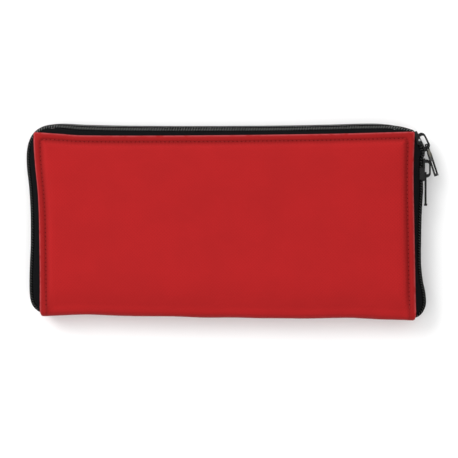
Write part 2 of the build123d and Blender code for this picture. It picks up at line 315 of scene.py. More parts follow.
UPPER_TILT = math.radians(26.2)
UPPER = Slider((144.0 * MM, 60.1 * MM, MIDDLE_Z), (math.sin(UPPER_TILT), -math.cos(UPPER_TILT), 0))
LOWER = Slider((146.2 * MM, 39.6 * MM, MIDDLE_Z), (0, 1, 0))

# Along a slider, in mm from its middle: its end, and where the two rows begin to part over a stretch
SLIDER_HALF = 8.5
JUNCTION = 0.5
PARTING = 3.5
SLIDER_STEPS = (-SLIDER_HALF, -4, 0, 4, SLIDER_HALF)

# The open stretch: how far each row stands off, right of what place, and its bow outwards
OPEN_STAND = 1.8 * MM
OPEN_RIGHT_OF = 130 * MM
OPEN_BOW = 0.25 * MM

# The zip leans over this far in from the ends of the top, and from this height up, in mm
LEAN_LEFT = -138
LEAN_RIGHT = 134
LEAN_RUN = 26
LEAN_FLOOR = 60
LEAN_RISE = 8

# The chain is lifted as it leans: this much at this lean, in radians
LEAN_LIFT = 0.8 * MM
LEAN_FULL = 0.6

# Middle line of the closed chain in mm, from its lower left end up, over and down
LEFT_AND_TOP = [
    (-132, -67.0), (-138.0, -66.6), (-143.3, -63.2), (-146.1, -56.5), (-146.6, -41), (-145.7, -15),
    (-145.8, 8), (-146.8, 26), (-148.6, 43), (-148.2, 56.0), (-144.6, 65.4), (-137.4, 70.8), (-126, 72.6),
    (-105, 71.5), (-70, 70.8), (-20, 70.6), (35, 70.9), (75, 71.6), (103, 72.4), (119, 72.2),
    (130.0, 70.9), (136.6, 69.1),
]
RIGHT_SIDE = [
    (146.4, 24), (145.4, 8), (144.9, -10), (144.8, -30), (146.0, -43), (148.1, -53.5), (148.2, -62.5),
    (143.8, -69.3), (135, -71.0),
]


def chain_route():
    """Points of the chain's middle line, with the straight stretches inside both sliders."""
    points = [Vector((x * MM, y * MM, MIDDLE_Z)) for x, y in LEFT_AND_TOP]
    points += [UPPER.at(u) for u in SLIDER_STEPS]
    points += [(UPPER.at(SLIDER_HALF) + LOWER.at(SLIDER_HALF)) / 2 + Vector((OPEN_BOW, 0, 0))]
    points += [LOWER.at(u) for u in reversed(SLIDER_STEPS)]
    points += [Vector((x * MM, y * MM, MIDDLE_Z)) for x, y in RIGHT_SIDE]
    return catmull(points, 10)


def ease(t):
    """A smooth step from 0 to 1."""
    t = min(max(t, 0), 1)
    return t * t * (3 - 2 * t)


def lean_at(point):
    """How far the chain leans forward: upright on both sides, leaning along the top."""
    from_left = ease((point.x / MM - LEAN_LEFT) / LEAN_RUN)
    from_right = ease((LEAN_RIGHT - point.x / MM) / LEAN_RUN)
    high = ease((point.y / MM - LEAN_FLOOR) / LEAN_RISE)
    return sizes().top_lean * from_left * from_right * high


def spread_at(point):
    """How far each row stands off the middle: nothing where closed, open between the sliders."""
    upper = (point - UPPER.middle).dot(UPPER.along) / MM
    lower = (point - LOWER.middle).dot(LOWER.along) / MM
    if point.x <= OPEN_RIGHT_OF or min(upper, lower) <= -SLIDER_HALF:
        return 0.0
    return OPEN_STAND * ease((upper - JUNCTION) / PARTING) * ease((lower - JUNCTION) / PARTING)


class Station:
    """One place on the chain: its point and its along, out and across directions."""

    def __init__(self, before, point, after, side):
        self.point = point
        self.along = (after - before).normalized()
        flat_out = Vector((-self.along.y, self.along.x, 0)).normalized()
        self.inward = -flat_out
        lean = lean_at(point)
        self.out = flat_out * math.cos(lean) + UP * math.sin(lean)
        self.across = (UP * math.cos(lean) - flat_out * math.sin(lean)) * side
        self.lift = UP * ease(lean / LEAN_FULL) * LEAN_LIFT
        self.spread = spread_at(point)

    def at(self, n, w):
        """Point n out of the chain and w from its middle towards this row's cloth, in metres."""
        return self.point + self.lift + self.out * n + self.across * (w + self.spread)


def stations(pitch, side):
    """Stations evenly along the whole chain."""
    line = even(chain_route(), pitch)
    befores = line[:1] + line
    afters = line[1:] + line[-1:]
    return [Station(before, point, after, side) for before, point, after in zip(befores, line, afters)]


# ---- making pieces


def piece(bm, name, material):
    """Turns a bmesh into a named object at the origin with one material."""
    mesh = bpy.data.meshes.new(name)
    bm.to_mesh(mesh)
    bm.free()
    for polygon in mesh.polygons:
        polygon.use_smooth = True
    mesh.materials.append(material)
    obj = bpy.data.objects.new(name, mesh)
    bpy.context.scene.collection.objects.link(obj)
    return obj


def apply_modifiers(obj):
    """Bakes an object's modifiers into its mesh."""
    graph = bpy.context.evaluated_depsgraph_get()
    mesh = bpy.data.meshes.new_from_object(obj.evaluated_get(graph))
    obj.modifiers.clear()
    obj.data = mesh
    return obj


def thicken(obj, thickness, offset=-1.0):
    """Gives a surface its thickness."""
    solid = obj.modifiers.new("Thickness", "SOLIDIFY")
    solid.use_even_offset = False
    solid.thickness = thickness
    solid.offset = offset
    return apply_modifiers(obj)


def mapped_grid(columns, rows, place):
    """A grid whose vertices are moved to place(column, row)."""
    bm = bmesh.new()
    bmesh.ops.create_grid(bm, x_segments=columns - 1, y_segments=rows - 1, size=0.5)
    for vert in bm.verts:
        column = round((vert.co.x + 0.5) * (columns - 1))
        row = round((vert.co.y + 0.5) * (rows - 1))
        vert.co = place(column, row)
    return bm


def rod(bm, start, end, radius, end_radius=None, segments=6, facing=UP):
    """Adds a capped rod from start to end, turned so that its sides are even about facing."""
    along = end - start
    z = along.normalized()
    y = (facing - z * facing.dot(z)).normalized()
    x = y.cross(z)
    turn = Matrix((x, y, z)).transposed().to_4x4()
    middle = Matrix.Translation((start + end) / 2)
    bmesh.ops.create_cone(
        bm, cap_ends=True, segments=segments, radius1=radius, radius2=end_radius or radius,
        depth=along.length, matrix=middle @ turn,
    )


STITCH_START = 0.12
STITCH_END = 0.88


def straight_stitches(bm, line, pitch, radius, segments, lift=Vector()):
    """Adds straight stitches along a line, with a gap between each two."""
    points = even(line, pitch)
    for a, b in zip(points, points[1:]):
        rod(bm, a.lerp(b, STITCH_START) + lift, a.lerp(b, STITCH_END) + lift, radius, segments=segments)


# ---- materials


class Shader:
    """A short way to write a node material."""

    def __init__(self, name):
        self.material = bpy.data.materials.new(name)
        self.material.use_nodes = True
        self.tree = self.material.node_tree
        self.tree.nodes.clear()
        output = self.node("ShaderNodeOutputMaterial")
        self.surface = self.node("ShaderNodeBsdfPrincipled")
        self.put(output.inputs["Surface"], self.surface.outputs["BSDF"])
        self.place = self.node("ShaderNodeTexCoord").outputs["Object"]

    def put(self, socket, value):
        """Gives a socket a value, or links it to another's output."""
        if isinstance(value, bpy.types.NodeSocket):
            self.tree.links.new(value, socket)
        else:
            socket.default_value = value

    def node(self, kind, inputs=None, **settings):
        """Adds a node with its settings and its inputs."""
        made = self.tree.nodes.new(kind)
        for key, value in settings.items():
            setattr(made, key, value)
        for key, value in (inputs or {}).items():
            self.put(made.inputs[key], value)
        return made

    def set(self, **inputs):
        """Sets the surface's inputs."""
        for key, value in inputs.items():
            self.put(self.surface.inputs[key.replace("_", " ")], value)

    def math(self, operation, a, b):
        """Result of an operation on two numbers or sockets."""
        made = self.node("ShaderNodeMath", {0: a, 1: b}, operation=operation)
        return made.outputs[0]

    def noise(self, scale, detail=3.0, rough=0.5):
        inputs = {"Vector": self.place, "Scale": scale, "Detail": detail, "Roughness": rough}
        return self.node("ShaderNodeTexNoise", inputs).outputs["Fac"]

    def turned(self, angles):
        inputs = {"Vector": self.place, "Rotation": angles}
        return self.node("ShaderNodeMapping", inputs).outputs["Vector"]

    def bands(self, axis, pitch, vector=None, distortion=0.0):
        """Fine bands across an axis, pitch apart."""
        made = self.node("ShaderNodeTexWave", wave_type="BANDS", bands_direction=axis, wave_profile="SIN")
        self.put(made.inputs["Vector"], vector or self.place)
        self.put(made.inputs["Scale"], math.pi / (10 * pitch))
        self.put(made.inputs["Distortion"], distortion)
        self.put(made.inputs["Detail"], 1.0)
        return made.outputs["Fac"]

    def mix(self, share, a, b):
        """A share of colour b in colour a."""
        made = self.node("ShaderNodeMix", {"Factor": share}, data_type="RGBA")
        colours_in = [socket for socket in made.inputs if socket.type == "RGBA"]
        for socket, value in zip(colours_in, (a, b)):
            self.put(socket, (*value, 1.0) if isinstance(value, tuple) else value)
        return next(socket for socket in made.outputs if socket.type == "RGBA")

    def attribute(self, name):
        """A number that the mesh holds at each vertex."""
        return self.node("ShaderNodeAttribute", attribute_name=name).outputs["Fac"]

    def ramp(self, value, low, high):
        """A smooth step from 0 at low to 1 at high."""
        inputs = {"Value": value, "From Min": low, "From Max": high}
        return self.node("ShaderNodeMapRange", inputs, interpolation_type="SMOOTHSTEP").outputs["Result"]

    def bump(self, height, distance):
        made = self.node("ShaderNodeBump", {"Height": height, "Distance": distance})
        self.set(Normal=made.outputs["Normal"])


def scaled(rgb, factor):
    return tuple(min(1.0, c * factor) for c in rgb)


def woven(shader, pitch, depth, fray=0.25):
    """Plain weave: warp and weft bands over each other, with a little fray, as bump."""
    warp = shader.bands("X", pitch, distortion=0.6)
    weft = shader.bands("Y", pitch, distortion=0.6)
    height = shader.math("MAXIMUM", warp, weft)
    over = shader.math("MULTIPLY", warp, weft)
    cloth_height = shader.math("SUBTRACT", height, shader.math("MULTIPLY", over, 0.6))
    fluff = shader.math("MULTIPLY", shader.noise(2600, 2), fray)
    shader.bump(shader.math("ADD", cloth_height, fluff), depth)
    return cloth_height


def red_cloth():
    """Fine woven red polyester, with painted shade between yarns, on the hem and along the bottom fold, and
    a painted highlight in patches at the hem's turned edge.
    """
    rgb = tuple(colours().red)
    shader = Shader("red_cloth")
    weave = woven(shader, 0.52 * MM, 0.06 * MM)
    tone = shader.mix(shader.ramp(shader.noise(38, 4), 0.3, 0.7), scaled(rgb, 0.955), scaled(rgb, 1.03))
    right_twill = shader.bands("DIAGONAL", 1.25 * MM, distortion=0.4)
    left_twill = shader.bands("DIAGONAL", 1.25 * MM, shader.turned((0, 0, math.pi / 2)), 0.4)
    checks = shader.math("MULTIPLY", right_twill, left_twill)
    shade = shader.mix(shader.math("MULTIPLY", checks, 0.5), tone, scaled(rgb, 0.62))
    # Painted shade between the yarns, in the low parts of the weave
    yarn = shader.mix(shader.ramp(weave, 0.0, 0.7), scaled(rgb, 0.74), shade)
    # Painted shade from the mesh's hem attribute: on the hem, in its stitch groove and along the bottom fold
    hem_share = shader.math("MULTIPLY", shader.attribute("hem"), 0.24)
    with_painted_shade = shader.mix(hem_share, yarn, scaled(rgb, 0.10))
    # Painted highlight in patches along the hem's turned edge, from the mesh's rim attribute
    rim_highlight_patches = shader.ramp(shader.noise(240, 3), 0.25, 0.55)
    highlight_share = shader.math("MULTIPLY", shader.attribute("rim"), rim_highlight_patches)
    shader.set(Base_Color=shader.mix(highlight_share, with_painted_shade, HIGHLIGHT_RED))
    shader.set(Roughness=0.80, Sheen_Weight=0.05, Sheen_Roughness=0.5, Specular_IOR_Level=0.12)
    shader.set(Sheen_Tint=(1.0, 0.35, 0.32, 1))
    return shader.material


def needle_hole():
    """Shade inside the needle holes between stitches."""
    shader = Shader("needle_hole")
    shader.set(Base_Color=shader.mix(shader.noise(1500), (0.045, 0.002, 0.002), (0.09, 0.004, 0.004)))
    shader.set(Roughness=1.0, Specular_IOR_Level=0.0)
    return shader.material


def twisted(name, pitch, depth, valley, ridge, **finish):
    """Sewing thread, with painted shade in the valleys of its twist."""
    shader = Shader(name)
    twist = shader.bands("DIAGONAL", pitch)
    # Painted shade: the valley colour where the twist is low
    shader.set(Base_Color=shader.mix(twist, valley, ridge))
    shader.bump(twist, depth)
    shader.set(**finish)
    return shader.material


def red_thread():
    """Red sewing thread, a little deeper than the cloth."""
    rgb = tuple(colours().red)
    return twisted(
        "red_thread", 0.35 * MM, 0.05 * MM, scaled(rgb, 0.60), scaled(rgb, 0.95),
        Roughness=0.6, Specular_IOR_Level=0.3,
    )


def zipper_tape():
    """Black zip tape in a close plain weave, with painted shade between the yarns."""
    rgb = tuple(colours().black_tape)
    shader = Shader("zipper_tape")
    weave = woven(shader, 0.55 * MM, 0.06 * MM)
    # Painted shade in the low parts of the weave
    shader.set(Base_Color=shader.mix(shader.ramp(weave, 0.1, 0.9), scaled(rgb, 0.5), scaled(rgb, 1.6)))
    shader.set(Roughness=0.95, Specular_IOR_Level=0.03)
    return shader.material


def zipper_coil():
    """Black nylon wire of the coil's teeth."""
    rgb = tuple(colours().coil)
    shader = Shader("zipper_coil")
    shader.set(Base_Color=shader.mix(shader.noise(900), scaled(rgb, 0.3), scaled(rgb, 0.7)))
    shader.bump(shader.noise(3500), 0.01 * MM)
    shader.set(Roughness=0.50, Specular_IOR_Level=0.05)
    return shader.material


def coil_bend_highlight():
    """Outer bends of the coil, with a grey painted highlight in patches, strongest along the top where the
    light falls.
    """
    shader = Shader("coil_bend_highlight")
    bend_highlight_patches = shader.ramp(shader.noise(420, 3), 0.15, 0.50)
    split = shader.node("ShaderNodeSeparateXYZ", {"Vector": shader.place})
    along_top = shader.ramp(split.outputs["Y"], PANEL_TOP - 6 * MM, PANEL_TOP + 2 * MM)
    highlight_strength = shader.math("ADD", shader.math("MULTIPLY", along_top, 0.75), 0.25)
    highlight_share = shader.math("MULTIPLY", bend_highlight_patches, highlight_strength)
    # Painted highlight: grey on the black nylon where light catches the bends
    shader.set(Base_Color=shader.mix(highlight_share, (0.003, 0.003, 0.003), (0.19, 0.19, 0.186)))
    shader.bump(shader.noise(3500), 0.01 * MM)
    shader.set(Roughness=0.35, Specular_IOR_Level=0.3)
    return shader.material


def bartack_thread():
    """Black sewing thread of the bartacks and the coil's own seams."""
    return twisted(
        "bartack_thread", 0.45 * MM, 0.10 * MM, (0.002, 0.002, 0.002), (0.007, 0.007, 0.007),
        Roughness=0.85, Specular_IOR_Level=0.03,
    )


def enamel_with_glint(name, spot, radius, shade):
    """Black enamel on die-cast zinc, with a painted highlight in one spot: a ragged patch of pale bare
    metal.
    """
    rgb = tuple(colours().enamel)
    shader = Shader(name)
    grime = shader.ramp(shader.noise(260, 4), 0.35, 0.75)
    paint = shader.mix(grime, scaled(rgb, 0.75), scaled(rgb, 1.8))
    # Painted highlight: a ragged round patch of metal in the colour shade, about spot, radius wide
    away = shader.node("ShaderNodeVectorMath", {0: shader.place, 1: spot}, operation="DISTANCE")
    fray = shader.math("MULTIPLY", shader.noise(900, 3), 0.8 * MM)
    ragged = shader.math("ADD", away.outputs["Value"], fray)
    glint_spot = shader.math("SUBTRACT", 1.0, shader.ramp(ragged, radius * 0.6, radius * 1.05))
    shader.set(Base_Color=shader.mix(glint_spot, paint, shade))
    rough = shader.math("ADD", shader.math("MULTIPLY", grime, 0.16), 0.30)
    shader.bump(shader.noise(1400, 2), 0.012 * MM)
    shader.set(Metallic=shader.math("MULTIPLY", glint_spot, 0.75), Roughness=rough, Specular_IOR_Level=0.22)
    return shader.material


def glass_cloth():
    """Woven glass fibre: pale, slightly glossy yarns in a coarser weave, with painted shade between them."""
    rgb = tuple(colours().glass)
    shader = Shader("glass_cloth")
    weave = woven(shader, 1.3 * MM, 0.30 * MM, fray=0.1)
    tone = shader.mix(shader.noise(40, 4), scaled(rgb, 0.90), scaled(rgb, 1.06))
    # Painted shade in the low parts of the weave
    shader.set(Base_Color=shader.mix(shader.ramp(weave, 0.0, 0.9), scaled(rgb, 0.55), tone))
    shader.set(Roughness=0.5, Sheen_Weight=0.1, Specular_IOR_Level=0.5)
    return shader.material


def hem_thread():
    """Heavy straw-coloured thread of the blanket's hem."""
    valley, ridge = (0.30, 0.27, 0.19), (0.46, 0.42, 0.32)
    return twisted("hem_thread", 0.5 * MM, 0.08 * MM, valley, ridge, Roughness=0.7)


def webbing():
    """Black polyester webbing with ribs across it, and painted shade between the ribs."""
    rgb = tuple(colours().webbing)
    shader = Shader("webbing")
    rib = shader.bands("Y", 1.2 * MM)
    # Painted shade in the valleys between the ribs
    shader.set(Base_Color=shader.mix(rib, scaled(rgb, 0.6), scaled(rgb, 1.9)))
    shader.bump(rib, 0.15 * MM)
    shader.set(Roughness=0.8, Sheen_Weight=0.1)
    return shader.material


def slider_metal():
    """Enamel of the sliders, with a painted highlight, a pale metal spot, at the foot of the upper crown."""
    return enamel_with_glint("slider_metal", UPPER.at(-1.2, 1.6) + UP * 4.9 * MM, 1.5 * MM, (0.36, 0.36, 0.37))


def pull_metal():
    """Enamel of the pull tabs, with a painted glint, a dull brownish metal spot, on the upper one."""
    return enamel_with_glint("pull_metal", UPPER.at(11, 4.6), 4.2 * MM, (0.10, 0.09, 0.065))


FINISHES = (
    red_cloth, needle_hole, red_thread, zipper_tape, zipper_coil, coil_bend_highlight, bartack_thread,
    glass_cloth, hem_thread, webbing, slider_metal, pull_metal,
)
MADE = {}


def finish_of(name):
    """The one material of a finish, made when it is first asked for."""
    if name not in MADE:
        MADE[name] = next(finish for finish in FINISHES if finish.__name__ == name)()
    return MADE[name]


# ---- cloth of the pouch


def spaced(length, border, fine, coarse):
    """Shares of a length, fine within border of both its ends and coarse between."""
    middle = length - 2 * border
    fine_count = round(border / fine)
    places = even_places(0, border, fine_count)[:-1]
    places += even_places(border, middle, round(middle / coarse))[:-1]
    places += even_places(length - border, border, fine_count)
    return [place / length for place in places]


def rounded(x, y):
    """Moves a point near an upper corner of the cloth so that the corner is round."""
    left, right, top = left_x(y), right_x(y), top_y(x)
    side = min(x - left, right - x)
    down = top - y
    if side >= CORNER or down >= CORNER:
        return x, y
    a, b = CORNER - side, CORNER - down
    drawn_in = 1 - max(a, b) / math.hypot(a, b)
    inward = 1 if x - left < right - x else -1
    return x + inward * a * drawn_in, y - b * drawn_in


def cloth_point(across, down, sheet):
    """Point of the cloth at a share across the pouch and down one face of it."""
    rough_y = PANEL_TOP + (FOLD_Y - PANEL_TOP) * down
    x = left_x(rough_y) + (right_x(rough_y) - left_x(rough_y)) * across
    y = top_y(x) + (bottom_y(x) + FOLD_DEPTH - top_y(x)) * down
    x, y = rounded(x, y)
    return Vector((x, y, front_height(x, y) if sheet == "front" else back_height(x, y)))


def fold_point(across, around):
    """Point of the cloth on its way round the bottom fold, from the front down to the back."""
    front = cloth_point(across, 1, "front")
    back = cloth_point(across, 1, "back")
    turn = math.pi * around
    depth = FOLD_DEPTH * abs(math.sin(turn)) ** FOLD_ROUND
    reach = math.copysign(abs(math.cos(turn)) ** FOLD_ROUND, math.cos(turn))
    z = (front.z + back.z) / 2 + (front.z - back.z) / 2 * reach
    sway = noise.noise(Vector((front.x / (30 * MM), around * 2, 3))) * 0.5 * MM * math.sin(turn)
    return Vector((front.x, front.y - depth + sway, z))


GRID_BORDER = 12 * MM
GRID_FINE = 0.7 * MM
GRID_COARSE = 2.2 * MM
FOLD_STEPS = 17


class POUCH_OT_cloth(bpy.types.Operator):
    """Red cloth in one piece: front, round the bottom fold, and back, hemmed on three sides"""

    bl_idname = "pouch.cloth"
    bl_label = "Red cloth"

    def execute(self, context):
        columns = spaced(PANEL_RIGHT - PANEL_LEFT, GRID_BORDER, GRID_FINE, GRID_COARSE)
        face_rows = spaced(PANEL_TOP - FOLD_Y, GRID_BORDER, GRID_FINE, GRID_COARSE)
        route = [("front", v) for v in face_rows]
        route += [("fold", i / FOLD_STEPS) for i in range(1, FOLD_STEPS)]
        route += [("back", v) for v in reversed(face_rows)]

        def place(column, row):
            part, share = route[len(route) - 1 - row]
            if part == "fold":
                return fold_point(columns[column], share)
            return cloth_point(columns[column], share, part)

        bm = mapped_grid(len(columns), len(route), place)
        # The hem attribute holds how much painted shade falls near the hem and along the bottom fold
        hem = bm.verts.layers.float.new("hem")
        rim = bm.verts.layers.float.new("rim")
        for vert in bm.verts:
            x, y = vert.co.x, vert.co.y
            edge = max(edge_distance(x, y), 0)
            over_fold = max(y - bottom_y(x), 0)
            vert[hem] = max(smooth(HEM_SHADE, edge / MM), smooth(FOLD_SHADE, over_fold / MM))
            # The rim attribute holds how much painted highlight falls at the turned edge
            in_from_edge = max(min(x - left_x(y), right_x(y) - x, top_y(x) - y), 0)
            vert[rim] = smooth(RIM_HIGHLIGHT, in_from_edge / MM)
        cloth = thicken(piece(bm, "pouch_cloth", finish_of("red_cloth")), sizes().cloth)
        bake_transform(cloth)
        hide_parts("front_panel", "back_panel", "bottom_fold")
        return {"FINISHED"}


def hem_sides(low, high, side, steps_up, steps_across, inset=0.0):
    """Places inset from the hemmed edges: up the left, along the top and down the right.

    low and high are left free at the ends of both sides, and side at the ends of the top.
    """
    ys = even_places(FOLD_Y + low, PANEL_TOP - FOLD_Y - low - high, steps_up)
    xs = even_places(PANEL_LEFT + side, PANEL_RIGHT - PANEL_LEFT - 2 * side, steps_across)
    left = [(left_x(y) + inset, y) for y in ys]
    top = [(x, top_y(x) - inset) for x in xs]
    right = [(right_x(y) - inset, y) for y in reversed(ys)]
    return left, top, right


def stitch_line(height):
    """Points of the topstitch line on one face, from lower left round to lower right."""
    inset = sizes().stitch_inset
    turn = inset + 1.2 * MM
    left, top, right = hem_sides(9 * MM, 13 * MM, 11 * MM, 60, 110, inset)
    corner_left = [(left_x(PANEL_TOP) + turn, top_y(PANEL_LEFT) - turn)]
    corner_right = [(right_x(PANEL_TOP) - turn, top_y(PANEL_RIGHT) - turn)]
    rim = left + corner_left + top + corner_right + right
    return catmull([Vector((x, y, height(x, y))) for x, y in rim], 3)


# Shares of a stitch: where its thread leaves the cloth, is highest, and goes in again
THREAD_OUT = 0.10
THREAD_HIGH = 0.5
THREAD_IN = 0.90
THREAD_END = 0.55


class POUCH_OT_topstitch(bpy.types.Operator):
    """Rows of topstitching that hold the hem down, on the front and on the back, with painted shade in their
    needle holes
    """

    bl_idname = "pouch.topstitch"
    bl_label = "Topstitching"

    def execute(self, context):
        pitch = sizes().stitch_pitch
        radius = sizes().thread
        for name, body, height, way in (
            ("front_topstitch", "cover", front_height, 1), ("back_topstitch", "back_half", back_height, -1),
        ):
            bm = bmesh.new()
            points = even(stitch_line(height), pitch)
            lift = Vector((0, 0, way * radius * 0.35))
            for a, b in zip(points, points[1:]):
                high = a.lerp(b, THREAD_HIGH) + lift * 2
                rod(bm, a.lerp(b, THREAD_OUT) + lift, high, radius * THREAD_END, radius)
                rod(bm, high, a.lerp(b, THREAD_IN) + lift, radius, radius * THREAD_END)
            stitches = piece(bm, name, finish_of("red_thread"))
            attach(stitches, body)
            # Dark rods sunk at each needle hole: painted shade in the holes between stitches
            holes = bmesh.new()
            for before, point, after in zip(points, points[1:], points[2:]):
                across = (after - before).normalized() * radius * 1.5
                sunk = point - Vector((0, 0, way * radius * 0.25))
                rod(holes, sunk - across, sunk + across, radius * 1.4)
            hole_shade_piece = piece(holes, name.replace("topstitch", "needle_hole_shades"), finish_of("needle_hole"))
            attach(hole_shade_piece, body)
        return {"FINISHED"}


# ---- zip


def hem_line():
    """Points of the red cloth's hemmed edge, from lower left round to lower right."""
    left, top, right = hem_sides(5 * MM, 4 * MM, 3 * MM, 90, 180)
    return [Vector((x, y, 0)) for x, y in left + top + right]


TUCK_TOP = -50 * MM
TUCK_RUN = 3.5 * MM
COVER_GAP = 0.15 * MM


def tucked_in(point):
    """0 where the chain runs outside the red cloth, 1 where its ends are tucked in behind it."""
    if point.y > TUCK_TOP:
        return 0.0
    inside = min(point.x - left_x(point.y), right_x(point.y) - point.x)
    return ease(inside / TUCK_RUN)


def under_cloth(point, side, hem_z):
    """Height of the tape where it is sewn to the cloth's inner face."""
    cover = sizes().cloth + sizes().tape / 2 + COVER_GAP
    if side > 0:
        return min(hem_z, point.z, front_height(point.x, point.y) - cover)
    return max(hem_z, point.z, back_height(point.x, point.y) + cover)


# The tape under the coil, in mm: how far out of the chain it lies, and its points across
TAPE_N = -1.75
TAPE_W = (0.3, 2.0, 3.8, 5.4)

# The tape at the hem: its lap, how far in its seam and its turn are, and its bulge; and at a tucked end
HEM_LAP = 0.25 * MM
SEAM_IN = 3.2 * MM
TURN_IN = 0.6 * MM
TAPE_BULGE = 0.9 * MM
END_IN = 4.5 * MM
END_RISE = 6.6 * MM


def tape_section(station, hem_point, side):
    """Points across the tape at one station, from under the coil to the seam in the hem."""
    flat = [station.at(TAPE_N * MM, w * MM) for w in TAPE_W]
    hem_z = FRONT_HEM_Z - HEM_LAP if side > 0 else BACK_HEM_Z + HEM_LAP
    tucked = tucked_in(station.point)
    inward = station.inward
    start = flat[-1]
    rim = Vector((hem_point.x, hem_point.y, hem_z))
    end_rim = station.point + inward * END_IN + UP * side * END_RISE
    rim = rim.lerp(end_rim, tucked)
    seam = rim + inward * SEAM_IN
    turned_in = rim + inward * TURN_IN
    for point in (turned_in, seam):
        point.z = under_cloth(point, side, hem_z)
    bulge = (start + rim) / 2 - inward * TAPE_BULGE * (1 - tucked)
    middle = [start.lerp(bulge, 0.55), bulge, bulge.lerp(turned_in, 0.55)]
    return flat + middle + [turned_in, seam]


class POUCH_OT_tapes(bpy.types.Operator):
    """Woven tapes of the zip, from under each row of teeth to the seams in the hems"""

    bl_idname = "pouch.tapes"
    bl_label = "Zip tapes"

    def execute(self, context):
        hem = hem_line()
        for name, body, side in (("front_tape", "cover", 1), ("back_tape", "back_half", -1)):
            posts = stations(1.6 * MM, side)
            sections = []
            for post in posts:
                near = min(hem, key=lambda p: (p.x - post.point.x) ** 2 + (p.y - post.point.y) ** 2)
                sections.append(tape_section(post, near, side))
            bm = mapped_grid(len(sections), len(sections[0]), lambda c, r: sections[c][r])
            tape = thicken(piece(bm, name, finish_of("zipper_tape")), sizes().tape, offset=0)
            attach(tape, body)
            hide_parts(f"{'front' if side > 0 else 'back'}_zipper_tape")
        return {"FINISHED"}


# The coil's wire: its radius, how far out and in its legs run, and where its roots, outer bends and
# heads are across the chain
WIRE = 0.43 * MM
WIRE_N = 0.94 * MM
ROOT_W = 3.30 * MM
BEND_W = 3.42 * MM
HEAD_W = -0.35 * MM

# Share of the pitch that a tooth's legs lead or lag by
TOOTH_LEAD = 0.24

# Thread that sews the coil to its tape: its radius, and the places of its two lines
SEW_RADIUS = 0.16 * MM
SEW_N = 1.30 * MM
SEW_W = (1.7 * MM, 2.6 * MM)


class POUCH_OT_teeth(bpy.types.Operator):
    """Rows of coil teeth that lock into each other, and the thread that sews each row down"""

    bl_idname = "pouch.teeth"
    bl_label = "Coil teeth"

    def execute(self, context):
        pitch = sizes().tooth_pitch
        lead = pitch * TOOTH_LEAD
        for name, body, side, shift in (
            ("front_teeth", "cover", 1, 0), ("back_teeth", "back_half", -1, 1),
        ):
            posts = stations(pitch / 2, side)
            bm = bmesh.new()
            bends = bmesh.new()
            for index in range(1 + shift, len(posts) - 1, 2):
                post = posts[index]
                before = posts[max(index - 2, 0)]
                outer = post.at(WIRE_N, ROOT_W) - post.along * lead
                inner = post.at(-WIRE_N, ROOT_W) + post.along * lead
                head = post.at(0, HEAD_W)
                ahead = post.out * WIRE_N
                rod(bm, outer, head + ahead * 0.95, WIRE, WIRE * 1.05, 7, post.out)
                rod(bm, inner, head - ahead * 0.95, WIRE, WIRE * 1.05, 7, post.out)
                rod(bm, head - ahead * 1.25, head + ahead * 1.25, WIRE * 1.35, segments=7)
                if index > 2 + shift:
                    first = post.at(WIRE_N, BEND_W) - post.along * lead
                    last = before.at(-WIRE_N, BEND_W) + before.along * lead
                    rod(bends, first, last, WIRE * 0.74, segments=7)
            bend_piece = piece(bends, name.replace("teeth", "coil_bends"), finish_of("coil_bend_highlight"))
            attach(bend_piece, body)
            teeth = piece(bm, name, finish_of("zipper_coil"))
            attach(teeth, body)
            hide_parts(f"{'front' if side > 0 else 'back'}_coil")
            seam = bmesh.new()
            for a, b in zip(posts[::2], posts[2::2]):
                for w in SEW_W:
                    rod(seam, a.at(SEW_N, w), b.at(SEW_N, w), SEW_RADIUS, segments=5)
            sewing = piece(seam, name.replace("teeth", "coil_sewing"), finish_of("bartack_thread"))
            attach(sewing, body)
        return {"FINISHED"}


class POUCH_OT_hardware(bpy.types.Operator):
    """Finishes of the sliders, crowns and pull tabs"""

    bl_idname = "pouch.hardware"
    bl_label = "Sliders and tabs"

    def execute(self, context):
        finishes = {
            "slider_metal": (
                "lower_slider_body", "lower_slider_crown", "upper_slider_body", "upper_slider_crown",
            ),
            "pull_metal": ("lower_pull_tab", "upper_pull_tab"),
        }
        for finish, nodes in finishes.items():
            for node in nodes:
                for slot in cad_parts[node].material_slots:
                    slot.material = finish_of(finish)
        return {"FINISHED"}


BARTACK_PITCH = 0.5 * MM
BARTACK_TURNS = 7
BARTACK_FROM_END = 3
BARTACK_UNDER = -2.35 * MM
BARTACK_THREAD = 0.30 * MM


class POUCH_OT_bartacks(bpy.types.Operator):
    """Thread wound round both rows at each end of the zip, which stops the sliders"""

    bl_idname = "pouch.bartacks"
    bl_label = "Bartacks"

    def execute(self, context):
        posts = stations(BARTACK_PITCH, 1)
        last = len(posts) - BARTACK_FROM_END - BARTACK_TURNS
        for node, first in (("left_bartack", BARTACK_FROM_END), ("right_bartack", last)):
            bm = bmesh.new()
            for turn in range(BARTACK_TURNS):
                post = posts[first + turn]
                wide = (4.1 + 0.25 * math.sin(turn * 1.9)) * MM
                over = (1.75 + 0.15 * math.cos(turn * 2.3)) * MM
                flat = wide * 0.8
                loop = [
                    post.at(over, -flat), post.at(over, flat), post.at(0, wide),
                    post.at(BARTACK_UNDER, flat), post.at(BARTACK_UNDER, -flat), post.at(0, -wide),
                ]
                for a, b in zip(loop, loop[1:] + loop[:1]):
                    rod(bm, a, b, BARTACK_THREAD, segments=7)
            wrap = piece(bm, node.replace("bartack", "bartack_thread"), finish_of("bartack_thread"))
            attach(wrap, "back_half")
            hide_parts(node)
        return {"FINISHED"}


# ---- blanket


# Folds one way and the other
PLIES = 4
RUNS = 8
PACK_ROUND = 8.0 * MM
GLASS_THICKNESS = 0.42 * MM

# Share of a ply that its turn into the next takes, and how much narrower each ply is than the last
PLY_TURN = 0.012
PLY_WIDTH = 0.994
PLY_NARROWER = 0.004
PLY_PLACES = (0, 0.004, 0.012, 0.03, 0.2, 0.4, 0.6, 0.8, 0.97, 0.988, 0.996)
LAST_PLACE = 0.99999


